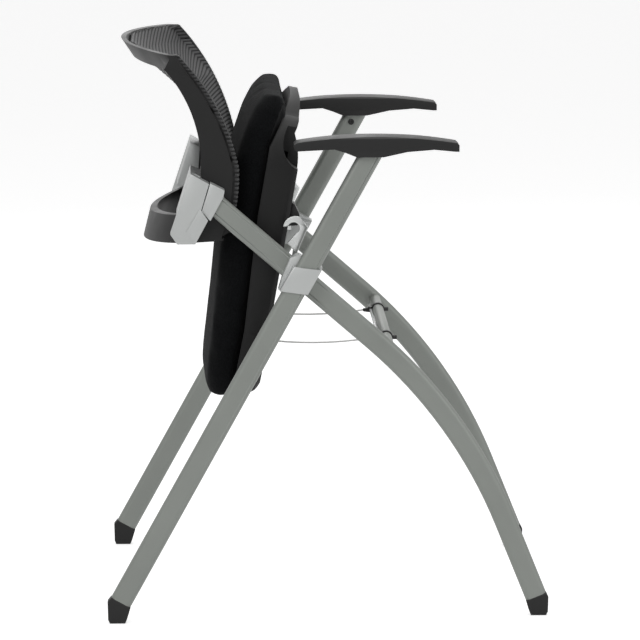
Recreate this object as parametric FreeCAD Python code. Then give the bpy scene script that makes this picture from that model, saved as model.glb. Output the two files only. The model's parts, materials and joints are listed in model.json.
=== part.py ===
import FreeCAD, Part
import math
import os

# Flip-up nesting chair with an X-shaped frame of flat-oval tube.
# Millimetres. X forward, Y to the sitter's left, Z up, origin on the floor
# under the middle of the four feet. The seat is drawn flipped up, as it rests.

V = FreeCAD.Vector
Y_AXIS = V(0, 1, 0)

# Tube of both leg pairs
tube_width = 30.0
tube_thick = 15.0
tube_wall = 2.0

# Leg planes and stance
curved_y = 219.5              # middle plane of the curved legs
leg_gap = 15.5                # clear width between a curved and a straight leg
foot_reach = 303.0            # front and rear face of the feet
foot_set_rear = 18.2          # from the foot's face in to the straight leg's end
foot_set_front = 16.94        # from the foot's face in to the curved leg's end
pivot_height = 388.0          # height of the seat pivot, on the straight leg's line
straight_lean = 29.0          # degrees from upright
straight_foot_height = 29.0   # where the tube stops above the floor
armrest_seat_height = 641.0   # where the tube enters the armrest

# Curved leg: a straight run, one large bend, a steeper straight run
curved_fall = 40.9            # degrees below level at the back
curved_foot_fall = 67.9       # degrees below level at the foot
curved_knee_z = 280.8         # height at which the two straight runs would meet
curved_radius = 670.0
curved_foot_height = 26.0
curved_top_run = 450.0        # from the knee back to the tube's upper end

# Feet
foot_thick = 17.0
foot_heel = 21.0
foot_plug = 28.0
foot_gap = 0.2

# Crossing
cross_cover_width = 36.0
cross_cover_length = 38.6
cross_cover_shear = -7.3      # degrees, cut of its top and bottom edges
cross_cover_wall = 3.5
cross_crown = 1.2
cross_cheek = 5.0
cross_margin = 0.8

# Hook plate
hook_thick = 3.5
hook_rise = 64.4              # claw centre above the crossing
hook_back = 8.2               # claw centre behind the crossing
hook_throat = 8.0
hook_wrap = 7.0

# Crossbar and wires
bar_radius = 8.0
bar_wall = 1.5
bar_ahead = 168.8             # from the seat pivot
bar_drop = 16.0
wire_inset = 72.0             # from the seat's side
wire_radius = 1.3
wire_drop = 20.0              # anchor eye below the pivot
wire_ahead = 11.5             # anchor eye ahead of the pivot
yoke_radius = 2.0
yoke_gap = 0.6
yoke_past = 42.0              # rod beyond each wire
clip_half = 4.0
clip_wall = 1.8
anchor_half = 3.0
anchor_wall = 2.0

# Seat, in its own frame: forward and up from the pivot, level when down
seat_flip = 80.0              # degrees between the drawn and the level seat
seat_travel = 76.0            # degrees of the joint
seat_front = 329.0
seat_rear = -106.0
seat_side_gap = 18.0          # between the seat and the curved leg beside it
seat_draw_in = 9.0            # how far the cushion's sides lean in
pan_under = -5.0
pan_rear = -92.0
pan_front = 323.0
pan_wall = 9.0
pan_floor = 16.0
pan_bow = 26.0
channel_play = 3.0
grip_depth = 34.0
rod_radius = 7.0
rod_play = 0.05
saddle_inset = 34.0           # from the seat's side
saddle_width = 34.0
saddle_length = 42.0
saddle_drop = 9.0
pad_length = 32.0
pad_gap = 1.0                 # between pad and crossbar at the end of the travel
pad_width = 26.0
pad_inset = 29.0

# Armrest, along the chair from the leg's line and up from where the tube enters it
arm_behind = 102.4
arm_ahead = 119.6
arm_half = 23.0
arm_rise_mid = 28.0
arm_rise_rear = 20.0
arm_rise_front = 19.0
arm_tip = 11.5
arm_hub_half = 18.0
arm_boss = 40.0
arm_socket = 13.0
arm_screw_drop = 10.0
arm_screw_radius = 1.7

# Back, in its own frame, in which the curved legs' upper ends lie at back_home
back_home_x = -157.53
back_home_z = 575.43
back_splay = 28.0             # from the uprights' foot out to their top
back_rim = 16.0
back_low_z = 518.0
rail_thick = 7.0
rail_height = 28.0
rail_bow = 64.5
rail_rise = 4.0
mesh_thick = 2.4
mesh_lead = 8.0               # mesh face ahead of the uprights' front edge
mesh_step = 2.0               # mesh edge in from the uprights' outer face
mesh_low_bow = 22.0
mesh_gap = 0.7                # between the mesh's edge and the edging
mesh_sink = 5.0               # mesh's edge behind the edging's face, at the foot
rebate_gap = 0.2              # behind the mesh, in its rebate in the rails
edging_width = 12.0
low_rail_thick = 9.0
low_rail_height = 18.0
ring_bow = 78.0
ring_height = 40.0
ring_thick = 10.0
ring_tilt = 11.5
ring_lean = 76.0
bracket_reach = 80.0          # wing from the upright in towards the middle
bracket_low_z = 553.0
bracket_facet_out = 2.5
collar_grow = 4.0
bracket_screw_radius = 2.2

# Widths and places that follow from the sizes above
straight_y = curved_y + tube_thick + leg_gap
seat_half = curved_y - tube_thick / 2.0 - seat_side_gap
wire_y = seat_half - wire_inset
yoke_half = wire_y + yoke_past
saddle_y = seat_half - saddle_inset
pad_y = seat_half - pad_inset
back_half_low = curved_y - tube_thick / 2.0 - collar_grow
back_half_top = back_half_low + back_splay
bracket_inner = back_half_low - bracket_reach
pivot_x = (foot_set_rear - foot_reach
           + (pivot_height - straight_foot_height) * math.tan(math.radians(straight_lean)))
curved_knee_x = (foot_reach - foot_set_front
                 - (curved_knee_z - curved_foot_height) / math.tan(math.radians(curved_foot_fall)))
bar_x = pivot_x + bar_ahead
bar_z = pivot_height - bar_drop
arm_screw_z = armrest_seat_height - arm_screw_drop

SIDES = (("right", -1), ("left", 1))


def wire_xz(points, y=0.0):
    """Closed outline through points in the XZ plane; a triple is an arc's middle point."""
    edges = []
    here = V(points[0][0], y, points[0][1])
    first = here
    mid = None
    for p in points[1:] + [points[0]]:
        spot = V(p[0], y, p[1])
        if len(p) == 3:
            mid = spot
            continue
        if mid is not None:
            edges.append(Part.Arc(here, mid, spot).toShape())
            mid = None
        elif here.distanceToPoint(spot) > 1e-6:
            edges.append(Part.LineSegment(here, spot).toShape())
        here = spot
    return Part.Wire(edges)


def slab_xz(points, y_low, y_high):
    """Prism of an XZ outline between two Y planes."""
    face = Part.Face(wire_xz(points, y_low))
    return face.extrude(V(0, y_high - y_low, 0))


def slab_sides(points, inner, outer, side):
    """The same prism on one side of the chair, between two distances from the middle."""
    low, high = sorted((side * inner, side * outer))
    return slab_xz(points, low, high)


def slab_yz(points, x_low, x_high):
    """Prism of a YZ outline, given with arcs as in wire_xz, between two X planes."""
    edges = []
    here = V(x_low, points[0][0], points[0][1])
    mid = None
    for p in points[1:] + [points[0]]:
        spot = V(x_low, p[0], p[1])
        if len(p) == 3:
            mid = spot
            continue
        if mid is not None:
            edges.append(Part.Arc(here, mid, spot).toShape())
            mid = None
        elif here.distanceToPoint(spot) > 1e-6:
            edges.append(Part.LineSegment(here, spot).toShape())
        here = spot
    return Part.Face(Part.Wire(edges)).extrude(V(x_high - x_low, 0, 0))


def cylinder_y(radius, x, z, y_low, y_high):
    return Part.makeCylinder(radius, y_high - y_low, V(x, y_low, z), Y_AXIS)


def stud(radius, length, at, axis):
    """Small round part or its hole as a twelve-sided prism."""
    sides = 12
    side = axis.cross(V(0, 0, 1) if abs(axis.z) < 0.9 else V(1, 0, 0))
    side.normalize()
    other = axis.cross(side)
    ring = []
    for k in range(sides + 1):
        turn = 2.0 * math.pi * k / sides
        ring.append(at + side * (radius * math.cos(turn)) + other * (radius * math.sin(turn)))
    return Part.Face(Part.makePolygon(ring)).extrude(axis * length)


def oval_face(centre, along, width, thick):
    """Flat-oval section at a point, square to the run, its flats facing sideways."""
    across = along.cross(Y_AXIS)
    across.normalize()
    flat = (width - thick) / 2.0
    half = V(0, thick / 2.0, 0)
    a = centre + across * flat + half
    b = centre - across * flat + half
    c = centre - across * flat - half
    d = centre + across * flat - half
    tip_low = centre - across * (width / 2.0)
    tip_high = centre + across * (width / 2.0)
    edges = [Part.LineSegment(a, b).toShape(), Part.Arc(b, tip_low, c).toShape()]
    edges += [Part.LineSegment(c, d).toShape(), Part.Arc(d, tip_high, a).toShape()]
    return Part.Face(Part.Wire(edges))


def leaning(degrees):
    """Unit vector in the XZ plane, rising, at an angle from level."""
    turn = math.radians(degrees)
    return V(math.cos(turn), 0, math.sin(turn))


def save(shape, name):
    shape = shape.removeSplitter() if shape.ShapeType != "Compound" else shape
    count = len(shape.Solids)
    if not shape.isValid() or count == 0:
        print("check", name, "valid", shape.isValid(), "solids", count)
    if count == 1:
        shape = shape.Solids[0]
    else:
        shape = Part.makeCompound(shape.Solids)
    shape.exportStep("parts/%s.step" % name)
    box = shape.BoundBox
    print("%-22s solids %d volume %.0f x %.1f..%.1f z %.1f..%.1f" % (
        name, count, shape.Volume, box.XMin, box.XMax, box.ZMin, box.ZMax))
    return shape


# Lines that the frame pieces share

straight_up = leaning(90.0 - straight_lean)


def straight_point(z):
    """Point of the straight leg's line, in the middle plane of the chair, at a height."""
    return V(pivot_x + (z - pivot_height) * math.tan(math.radians(straight_lean)), 0, z)


fall = V(math.cos(math.radians(curved_fall)), 0, -math.sin(math.radians(curved_fall)))
foot_fall = V(math.cos(math.radians(curved_foot_fall)), 0, -math.sin(math.radians(curved_foot_fall)))
knee = V(curved_knee_x, 0, curved_knee_z)
bend = math.radians(curved_foot_fall - curved_fall)
bend_run = curved_radius * math.tan(bend / 2.0)
bend_start = knee - fall * bend_run
bend_end = knee + foot_fall * bend_run
bend_centre = bend_start + V(-math.sin(math.radians(curved_fall)), 0, -math.cos(math.radians(curved_fall))) * curved_radius
curved_top = knee - fall * curved_top_run
curved_foot = bend_end + foot_fall * ((bend_end.z - curved_foot_height) / -foot_fall.z)


def crossing():
    """Where the two leg lines cross, seen from the side."""
    start = straight_point(0.0)
    span = knee - start
    turn = straight_up.x * -fall.z + straight_up.z * fall.x
    along = (span.x * -fall.z + span.z * fall.x) / turn
    return start + straight_up * along


cross = crossing()


# Legs

def straight_tube(width, thick, low, high):
    face = oval_face(low, straight_up, width, thick)
    return face.extrude(high - low)


def straight_leg(side):
    low = straight_point(straight_foot_height)
    high = straight_point(armrest_seat_height + arm_socket)
    tube = straight_tube(tube_width, tube_thick, low, high)
    bore = straight_tube(tube_width - 2 * tube_wall, tube_thick - 2 * tube_wall,
                         low - straight_up, high + straight_up)
    tube = tube.cut(bore)
    tube.translate(V(0, side * straight_y, 0))
    hole_at = straight_point(arm_screw_z)
    inner = sorted((side * (straight_y - tube_thick / 2.0 - 1), side * straight_y))
    return tube.cut(cylinder_y(2.6, hole_at.x, hole_at.z, inner[0], inner[1]))


def curved_run(width, thick, extra=0.0):
    """The curved leg's outside or bore as three runs that meet in tangents."""
    start = curved_top - fall * extra
    upper = oval_face(start, fall, width, thick).extrude(bend_start - start)
    middle = oval_face(bend_start, fall, width, thick).revolve(
        bend_centre, Y_AXIS, math.degrees(bend))
    end = curved_foot + foot_fall * extra
    lower = oval_face(bend_end, foot_fall, width, thick).extrude(end - bend_end)
    return upper.fuse([middle, lower])


def curved_leg(side):
    tube = curved_run(tube_width, tube_thick)
    bore = curved_run(tube_width - 2 * tube_wall, tube_thick - 2 * tube_wall, 1.0)
    tube = tube.cut(bore)
    tube.translate(V(0, side * curved_y, 0))
    return tube


# Feet

def foot(end, along, reach, plug_dir):
    """Rubber foot under a tube end: a skirt with an upright outer face and a plug in the bore."""
    across = along.cross(Y_AXIS)
    if across.x * reach < 0:
        across = across * -1.0
    outer = end + across * (tube_width / 2.0)
    inner = end - across * (tube_width / 2.0)
    sign = 1.0 if reach > 0 else -1.0
    bulge_z = outer.z - 6.0
    sole_outer = reach - sign * 3.0
    sole_inner = sole_outer - sign * foot_heel
    outline = [(outer.x, outer.z), (reach, bulge_z), (reach - sign * 0.6, 5.0), (sole_outer, 0.0),
               (sole_inner, 0.0), (sole_inner - sign * 2.5, 6.0), (inner.x, inner.z)]
    body = slab_xz(outline, -foot_thick / 2.0, foot_thick / 2.0)
    rims = [e for e in body.Edges if abs(abs(e.BoundBox.YMin) - foot_thick / 2.0) < 0.01
            and abs(e.BoundBox.YMax - e.BoundBox.YMin) < 0.01]
    body = body.makeChamfer(1.2, rims)
    bore_w = tube_width - 2 * tube_wall - 2 * foot_gap
    bore_t = tube_thick - 2 * tube_wall - 2 * foot_gap
    plug = oval_face(end - plug_dir * 2.0, plug_dir, bore_w, bore_t).extrude(plug_dir * (foot_plug + 2.0))
    return body.fuse(plug)


def rear_foot(side):
    piece = foot(straight_point(straight_foot_height), straight_up, -foot_reach, straight_up)
    piece.translate(V(0, side * straight_y, 0))
    return piece


def front_foot(side):
    piece = foot(curved_foot, foot_fall * -1.0, foot_reach, foot_fall * -1.0)
    piece.translate(V(0, side * curved_y, 0))
    return piece


# Crossing

def cross_outline(grow=0.0):
    """Sheared block outline about the crossing, two edges along the straight leg."""
    half_w = (cross_cover_width / 2.0 + grow) / math.cos(math.radians(straight_lean + cross_cover_shear))
    shear = V(math.cos(math.radians(cross_cover_shear)), 0, math.sin(math.radians(cross_cover_shear)))
    rise = straight_up * (cross_cover_length / 2.0 + grow)
    corners = []
    for a, b in ((-1, 1), (1, 1), (1, -1), (-1, -1)):
        p = cross + shear * (a * half_w) + rise * b
        corners.append((p.x, p.z))
    return corners


def cross_cover(side):
    """Crowned clip round the outside of the straight leg at the crossing."""
    inner = straight_y - tube_thick / 2.0
    outer = straight_y + tube_thick / 2.0 + cross_cover_wall
    block = slab_sides(cross_outline(), inner, outer, side)
    crown_radius = ((cross_cover_width / 2.0) ** 2 + cross_crown ** 2) / (2 * cross_crown)
    crown_centre = cross + V(0, side * (outer - crown_radius), 0)
    barrel = Part.makeCylinder(crown_radius, 200.0, crown_centre - straight_up * 100.0, straight_up)
    block = block.common(barrel)
    passage = straight_tube(tube_width, tube_thick, cross - straight_up * 60, cross + straight_up * 60)
    passage.translate(V(0, side * straight_y, 0))
    mouth = slab_sides(band_outline(cross, straight_up, tube_width, 120.0), inner - 1.0, straight_y, side)
    return block.cut(passage.fuse(mouth))


def band_outline(centre, along, width, length):
    """Rectangle about a point in the XZ plane, long along a direction."""
    across = along.cross(Y_AXIS)
    across.normalize()
    corners = []
    for a, b in ((-1, 1), (1, 1), (1, -1), (-1, -1)):
        p = centre + across * (a * width / 2.0) + along * (b * length / 2.0)
        corners.append((p.x, p.z))
    return corners


def cross_joint(side):
    """Casting between the legs that clasps the curved leg and backs the cover."""
    top_rear, top_front, low_front, low_rear = cross_outline(cross_margin)
    outline = [low_rear, (low_rear[0] + 5.0, low_rear[1] + 17.0), (top_rear[0] - 3.0, top_rear[1] + 9.0),
               (top_rear[0] + 8.5, top_rear[1] + 13.0), top_front, low_front]
    core = slab_sides(outline, curved_y, straight_y - tube_thick / 2.0, side)
    clasp = slab_sides(cross_outline(), curved_y - tube_thick / 2.0 - cross_cheek, curved_y, side)
    passage = oval_face(cross - fall * 60, fall, tube_width, tube_thick).extrude(fall * 120)
    passage.translate(V(0, side * curved_y, 0))
    return core.fuse(clasp).cut(passage)


# Hook plate

def hook_plate(side):
    """Flat claw on a narrow tongue, fixed to the inner cheek of the crossing."""
    cx = cross.x - hook_back
    cz = cross.z + hook_rise
    r_out = hook_throat + hook_wrap

    def at(radius, degrees, mid=False):
        turn = math.radians(degrees)
        spot = (cx + radius * math.cos(turn), cz + radius * math.sin(turn))
        return spot + (0,) if mid else spot

    outline = [at(r_out - 0.5, 172), at(r_out + 0.6, 115, True), at(r_out + 2.6, 62), (cx + 19.5, cz + 1.0),
               (cx + 5.5, cz - 32.0), (cross.x - 1.0, cross.z + 4.0), (cross.x - 14.0, cross.z + 4.0),
               (cx - 1.0, cz - 29.0), (cx - 9.0, cz - 20.5), at(hook_throat, -62),
               at(hook_throat, 40, True), at(hook_throat, 150), at(hook_throat + 2.2, 166)]
    outer = curved_y - tube_thick / 2.0 - cross_cheek
    return slab_sides(outline, outer - hook_thick, outer, side)


# Crossbar and wires

def front_crossbar():
    reach = curved_y - tube_thick / 2.0
    bar = cylinder_y(bar_radius, bar_x, bar_z, -reach, reach)
    return bar.cut(cylinder_y(bar_radius - bar_wall, bar_x, bar_z, -reach - 1, reach + 1))


yoke_x = bar_x - bar_radius - yoke_gap - yoke_radius
anchor_x = pivot_x + wire_ahead
anchor_z = pivot_height - wire_drop
grommet_end = yoke_x - yoke_radius - clip_wall
grommet_length = 7.0
wire_end_z = bar_z - 1.0


def wire_yoke():
    """Thin rod behind the crossbar that the two wires end on."""
    return cylinder_y(yoke_radius, yoke_x, bar_z, -yoke_half, yoke_half)


def yoke_clip(side):
    """Clip that ties the thin rod to the crossbar, with a stop in front."""
    low = side * wire_y - clip_half
    high = side * wire_y + clip_half
    band = cylinder_y(bar_radius + clip_wall, bar_x, bar_z, low, high)
    reach = yoke_radius + clip_wall
    band = band.fuse(slab_xz([(yoke_x - reach, bar_z - reach), (bar_x, bar_z - reach), (bar_x, bar_z + reach),
                              (yoke_x - reach, bar_z + reach)], low, high))
    stop = stud(clip_half - 1.0, 6.0, V(bar_x + bar_radius + 1.0, side * wire_y, bar_z), V(1, 0, 0))
    band = band.fuse(stop).cut(cylinder_y(bar_radius, bar_x, bar_z, low - 1, high + 1))
    return band.cut(cylinder_y(yoke_radius, yoke_x, bar_z, low - 1, high + 1))


def stay_wire(side):
    """Wire with a slight sag from the anchor under the pivot rod to the grommet."""
    y = side * wire_y
    start = V(anchor_x, y, anchor_z)
    end = V(grommet_end - grommet_length, y, wire_end_z)
    sag = V((start.x + end.x) / 2.0 + 12.0, y, anchor_z - 2.5)
    run = Part.Arc(start, sag, end)
    sections = []
    for k in range(8):
        share = run.FirstParameter + (run.LastParameter - run.FirstParameter) * k / 7.0
        along = V(*run.tangent(share)[0])
        across = along.cross(Y_AXIS)
        corners = []
        for turn in range(0, 361, 60):
            out = math.radians(turn)
            corners.append(run.value(share) + across * (wire_radius * math.cos(out))
                           + Y_AXIS * (wire_radius * math.sin(out)))
        sections.append(Part.makePolygon(corners))
    return Part.makeLoft(sections, True, True).cut(wire_anchor(side))


def wire_grommet(side):
    """Black taper where the wire meets the clip."""
    rear = V(grommet_end - grommet_length, side * wire_y, wire_end_z)
    return Part.makeCone(clip_half - 1.8, clip_half - 0.6, grommet_length, rear, V(1, 0, 0))


# Seat pivot

def pivot_rod():
    reach = straight_y - tube_thick / 2.0
    rod = cylinder_y(rod_radius, pivot_x, pivot_height, -reach, reach)
    for low in (-reach, reach - 2.0):
        rod = rod.fuse(cylinder_y(rod_radius + 3.5, pivot_x, pivot_height, low, low + 2.0))
    return rod


def wire_anchor(side):
    """Ring on the pivot rod with a short tab that holds the wire's rear end."""
    low = side * wire_y - anchor_half
    high = side * wire_y + anchor_half
    collar = cylinder_y(rod_radius + anchor_wall, pivot_x, pivot_height, low, high)
    down = V(wire_ahead, 0, -wire_drop)
    span = down.Length + 3.5
    down.normalize()
    centre = V(pivot_x, 0, pivot_height) + down * (span / 2.0)
    tab = slab_xz(band_outline(centre, down, 7.0, span), low, high)
    return collar.fuse(tab).cut(cylinder_y(rod_radius, pivot_x, pivot_height, low - 1, high + 1))


# Seat, drawn level about the pivot and then flipped up

pan_edge = [(seat_rear - 8.0, 26.5), (-50.0, 30.0), (0.0, 29.0), (90.0, 34.0), (160.0, 38.0), (254.0, 38.0),
            (292.0, 26.0), (pan_front - 8.0, 18.0), (pan_front + 12.0, 18.0)]


def fold(shape):
    """Carry a piece from the level seat's own frame to the flipped-up place."""
    moved = shape.copy()
    moved.rotate(V(0, 0, 0), Y_AXIS, -seat_flip)
    moved.translate(V(pivot_x, 0, pivot_height))
    return moved


def cushion_section(u, half, low, high):
    """Section across the cushion: drawn-in sides, eased shoulders and a crowned top."""
    corner = min(16.0, (high - low) * 0.33)
    belly = low + (high - low) * 0.45
    shoulder = high - corner * 0.35
    top_half = half - seat_draw_in - corner
    side_half = half - seat_draw_in * 0.35 - corner * 0.25
    base = V(u, half - corner, low)
    swell = V(u, half, belly)
    rim = V(u, top_half, shoulder)

    def other(p):
        return V(p.x, -p.y, p.z)

    ease = V(u, half - corner * 0.3, low + (belly - low) * 0.35)
    flank = V(u, side_half, high - corner * 1.1)
    return Part.Wire([
        Part.LineSegment(other(base), base).toShape(), Part.Arc(base, ease, swell).toShape(),
        Part.Arc(swell, flank, rim).toShape(), Part.Arc(rim, V(u, 0, high), other(rim)).toShape(),
        Part.Arc(other(rim), other(flank), other(swell)).toShape(),
        Part.Arc(other(swell), other(ease), other(base)).toShape()])


def seat_cushion():
    """Upholstered pad with a crown, drawn-in sides and a waterfall front."""
    stations = [(seat_rear + 1.5, 0.90, 36.0, 60.0), (seat_rear + 12.0, 0.965, 20.0, 68.0),
                (seat_rear + 32.0, 0.985, 15.0, 71.0), (-30.0, 0.995, 15.0, 73.5), (30.0, 1.0, 15.0, 77.0),
                (100.0, 1.0, 15.0, 82.5), (180.0, 1.0, 15.0, 84.5), (seat_front - 90.0, 0.99, 15.0, 81.5),
                (seat_front - 50.0, 0.955, 13.0, 75.5), (seat_front - 22.0, 0.90, 13.0, 67.5),
                (seat_front - 2.0, 0.80, 25.0, 52.0)]
    wires = []
    for u, share, low, high in stations:
        wires.append(cushion_section(u, seat_half * share, low, high))
    pad = Part.makeLoft(wires, True, True)
    below = slab_xz(pan_edge + [(pan_edge[-1][0], -40.0), (pan_edge[0][0], -40.0)],
                    -seat_half - 20, seat_half + 20)
    return fold(pad.cut(below))


def pan_plan(grow, w):
    """Plan outline of the seat pan at a height: bowed front, rounded corners."""
    half = seat_half + grow
    front = pan_front + grow
    rear = pan_rear - grow
    front_corner = 70.0
    rear_corner = 38.0
    shoulder = front - pan_bow
    slant = math.sqrt(0.5)
    corners = []
    for cx, cy, radius, sx, sy in ((rear + rear_corner, -half + rear_corner, rear_corner, -1, -1),
                                   (shoulder - front_corner, -half + front_corner, front_corner, 1, -1),
                                   (shoulder - front_corner, half - front_corner, front_corner, 1, 1),
                                   (rear + rear_corner, half - rear_corner, rear_corner, -1, 1)):
        ends = [V(cx + sx * radius, cy, w), V(cx, cy + sy * radius, w)]
        if sx * sy < 0:
            ends.reverse()
        middle = V(cx + sx * radius * slant, cy + sy * radius * slant, w)
        corners.append((ends[0], middle, ends[1]))
    edges = []
    for i, (start, middle, end) in enumerate(corners):
        edges.append(Part.Arc(start, middle, end).toShape())
        ahead = corners[(i + 1) % 4][0]
        if i == 1:
            edges.append(Part.Arc(end, V(front, 0, w), ahead).toShape())
        else:
            edges.append(Part.LineSegment(end, ahead).toShape())
    return Part.Wire(edges)


def seat_pan():
    """Moulded pan: rimmed shell, a hand grip scooped in each side, a channel for the rod."""
    body = Part.makeLoft([pan_plan(-7.0, pan_under), pan_plan(-1.5, pan_under + 6.0), pan_plan(0.0, 60.0)],
                         True, True)
    rear_rise = [(pan_rear - 20.0, pan_edge[0][1]), (pan_rear, 24.0), (pan_rear + 6.0, 7.0, 0),
                 (pan_rear + 24.0, pan_under)]
    lip = pan_under + 8.0
    front_rise = [(pan_front - 98.0, pan_under), (pan_front - 70.0, pan_under + 3.0, 0),
                  (pan_front - 47.0, pan_under + 11.5), (pan_front - 31.0, lip), (pan_front - 12.0, lip),
                  (pan_front - 1.0, lip + 4.0, 0), (pan_front + 4.0, lip + 11.0)]
    profile = rear_rise + front_rise + list(reversed(pan_edge))
    body = body.common(slab_xz(profile, -seat_half - 5, seat_half + 5))
    hollow = Part.Face(pan_plan(-pan_wall, pan_under + pan_floor)).extrude(V(0, 0, 60))
    lid = slab_xz([(-50, 0), (-50, 60), (250, 60), (250, 0)], -seat_half, seat_half)
    body = body.cut(hollow.common(lid))
    span = seat_half + 5
    slot = rod_radius + channel_play
    body = body.cut(cylinder_y(slot, 0, 0, -span, span))
    body = body.cut(slab_xz([(-slot, 0), (slot, 0), (slot, pan_under - 5), (-slot, pan_under - 5)], -span, span))
    grip_mid = pan_front - 61.0
    grip = [(grip_mid - 33.0, pan_under - 5), (grip_mid - 31.0, pan_under), (grip_mid - 17.0, 14.0, 0),
            (grip_mid, 20.5), (grip_mid + 18.0, 19.0, 0), (grip_mid + 34.0, 11.0), (grip_mid + 45.0, lip - 1.0),
            (grip_mid + 46.0, pan_under - 5)]
    for side in (-1, 1):
        body = body.cut(slab_sides(grip, seat_half - grip_depth, seat_half + 5, side))
        body = body.cut(cylinder_y(slot + 5.5, 0, 0, side * wire_y - anchor_half - 2.5,
                                   side * wire_y + anchor_half + 2.5))
    return fold(body).cut(saddle_screws())


def pivot_saddle(side):
    """Bearing block under the pan that turns on the pivot rod."""
    low = side * saddle_y - saddle_width / 2.0
    high = side * saddle_y + saddle_width / 2.0
    half = saddle_length / 2.0
    keel = pan_under - saddle_drop
    outline = [(-half, pan_under), (-half, pan_under - 3.0), (-half + 7.0, keel), (half - 7.0, keel),
               (half, pan_under - 3.0), (half, pan_under)]
    block = slab_xz(outline, low, high)
    neck_half = rod_radius + channel_play - 0.4
    neck = slab_xz([(-neck_half, pan_under - 1), (neck_half, pan_under - 1), (neck_half, 0),
                    (0, neck_half, 0), (-neck_half, 0)], low, high)
    block = block.fuse(neck).cut(cylinder_y(rod_radius + rod_play, 0, 0, low - 1, high + 1))
    return fold(block).cut(saddle_screws())


def saddle_screws():
    """Screws that hold the two saddles to the pan."""
    screws = []
    for side in (-1, 1):
        for u in (-saddle_length / 2.0 + 5.0, saddle_length / 2.0 - 5.0):
            head = stud(3.4, 2.0, V(u, side * saddle_y, pan_under - 5.0), V(0, 0, 1))
            shank = stud(1.8, 14.0, V(u, side * saddle_y, pan_under - 4.0), V(0, 0, 1))
            screws.append(fold(head.fuse(shank)))
    return Part.makeCompound(screws)


def rest_pad(side):
    """Sloped block under the pan that lands on the crossbar at the end of the travel."""
    pitch = math.radians(seat_flip - seat_travel)
    ahead = bar_x - pivot_x
    above = bar_z - pivot_height
    centre = ahead * math.cos(pitch) + above * math.sin(pitch)
    keel = above * math.cos(pitch) - ahead * math.sin(pitch) + bar_radius + pad_gap
    rear = centre - pad_length / 2.0
    front = centre + pad_length / 2.0
    outline = [(rear, pan_under), (rear + 3.0, keel), (centre + 2.0, keel), (front, pan_under - 4.0),
               (front, pan_under)]
    return fold(slab_xz(outline, side * pad_y - pad_width / 2.0, side * pad_y + pad_width / 2.0))


# Armrests

def arm_profile():
    """Side view of the armrest: a long shallow hump over a deeper hub."""
    base = armrest_seat_height
    middle = straight_point(base).x
    rear = middle - arm_behind
    front = middle + arm_ahead
    top_rear = base + arm_rise_rear
    top_front = base + arm_rise_front
    return [(rear, top_rear - 3.0), (rear + 4.0, top_rear), ((rear + front) / 2.0, base + arm_rise_mid, 0),
            (front - 3.0, top_front), (front, top_front - 3.0), (front, top_front - arm_tip),
            (front - 5.0, top_front - arm_tip), (front - 34.0, base + 10.5), (middle + arm_hub_half + 32.0, base + 7.5),
            (middle + arm_hub_half, base), (middle - arm_hub_half, base), (middle - arm_hub_half - 14.0, base + 6.0),
            (middle - arm_hub_half - 30.0, base + 11.5), (rear + 3.0, top_rear - arm_tip),
            (rear, top_rear - arm_tip + 3.0)]


def armrest(side):
    """Plastic armrest with a pocket for the tube end and a boss inside the bore."""
    base = armrest_seat_height
    hub = straight_point(base).x
    rear = hub - arm_behind - 1.0
    front = hub + arm_ahead + 1.0
    top = base + arm_rise_mid
    body = slab_xz(arm_profile(), -arm_half, arm_half)
    section = [(-arm_half, top - 2.5), (-arm_half + 3.0, top), (arm_half - 3.0, top), (arm_half, top - 2.5),
               (arm_half, base + 12.5), (arm_half - 9.0, base - 5.0), (-arm_half + 9.0, base - 5.0),
               (-arm_half, base + 12.5)]
    body = body.common(slab_yz(section, rear - 5, front + 5))
    tip_half = arm_half - 4.0
    middle = (rear + front) / 2.0
    plan = [(rear, -tip_half), (middle, -arm_half - 0.5, 0), (front, -tip_half),
            (front, tip_half), (middle, arm_half + 0.5, 0), (rear, tip_half)]
    taper = slab_xz(plan, base - 50.0, base + 50.0)
    taper.rotate(V(0, 0, 0), V(1, 0, 0), 90.0)
    body = body.common(taper)
    end = straight_point(base + arm_socket)
    body = body.cut(straight_tube(tube_width, tube_thick, straight_point(base - 20.0), end))
    bore = 2 * tube_wall + 2 * foot_gap
    boss = straight_tube(tube_width - bore, tube_thick - bore, end - straight_up * arm_boss,
                         end + straight_up)
    body = body.fuse(boss)
    body.translate(V(0, side * straight_y, 0))
    return body.cut(armrest_screws())


def armrest_screws():
    """One black pan-head screw on the inner face of each post."""
    spot = straight_point(arm_screw_z)
    face = straight_y - tube_thick / 2.0
    screws = []
    for _, side in SIDES:
        out = V(0, side, 0)
        start = V(spot.x, side * (face - 2.4), spot.z)
        head = stud(4.4, 2.4, start, out)
        shank = stud(arm_screw_radius, 9.0, start, out)
        socket = stud(1.6, 1.4, start - out * 0.2, out)
        screws.append(head.fuse(shank).cut(socket))
    return Part.makeCompound(screws)


# Back

front_upper = [(-211.5, 776.0), (-157.5, 698.0), (-130.0, 620.0)]
front_lower = [(-130.0, 620.0), (-133.0, 570.0), (-144.5, 526.0)]
rear_lower = [(-182.0, back_low_z), (-176.0, 570.0), (-172.5, 632.0)]
rear_upper = [(-172.5, 632.0), (-184.5, 693.0), (-221.5, 757.0)]
splay_low_z = 600.0
splay = [(back_half_low, splay_low_z), (back_half_low + 5.0, 680.0), (back_half_top, 756.0)]
edging_back = mesh_lead - mesh_thick


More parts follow.
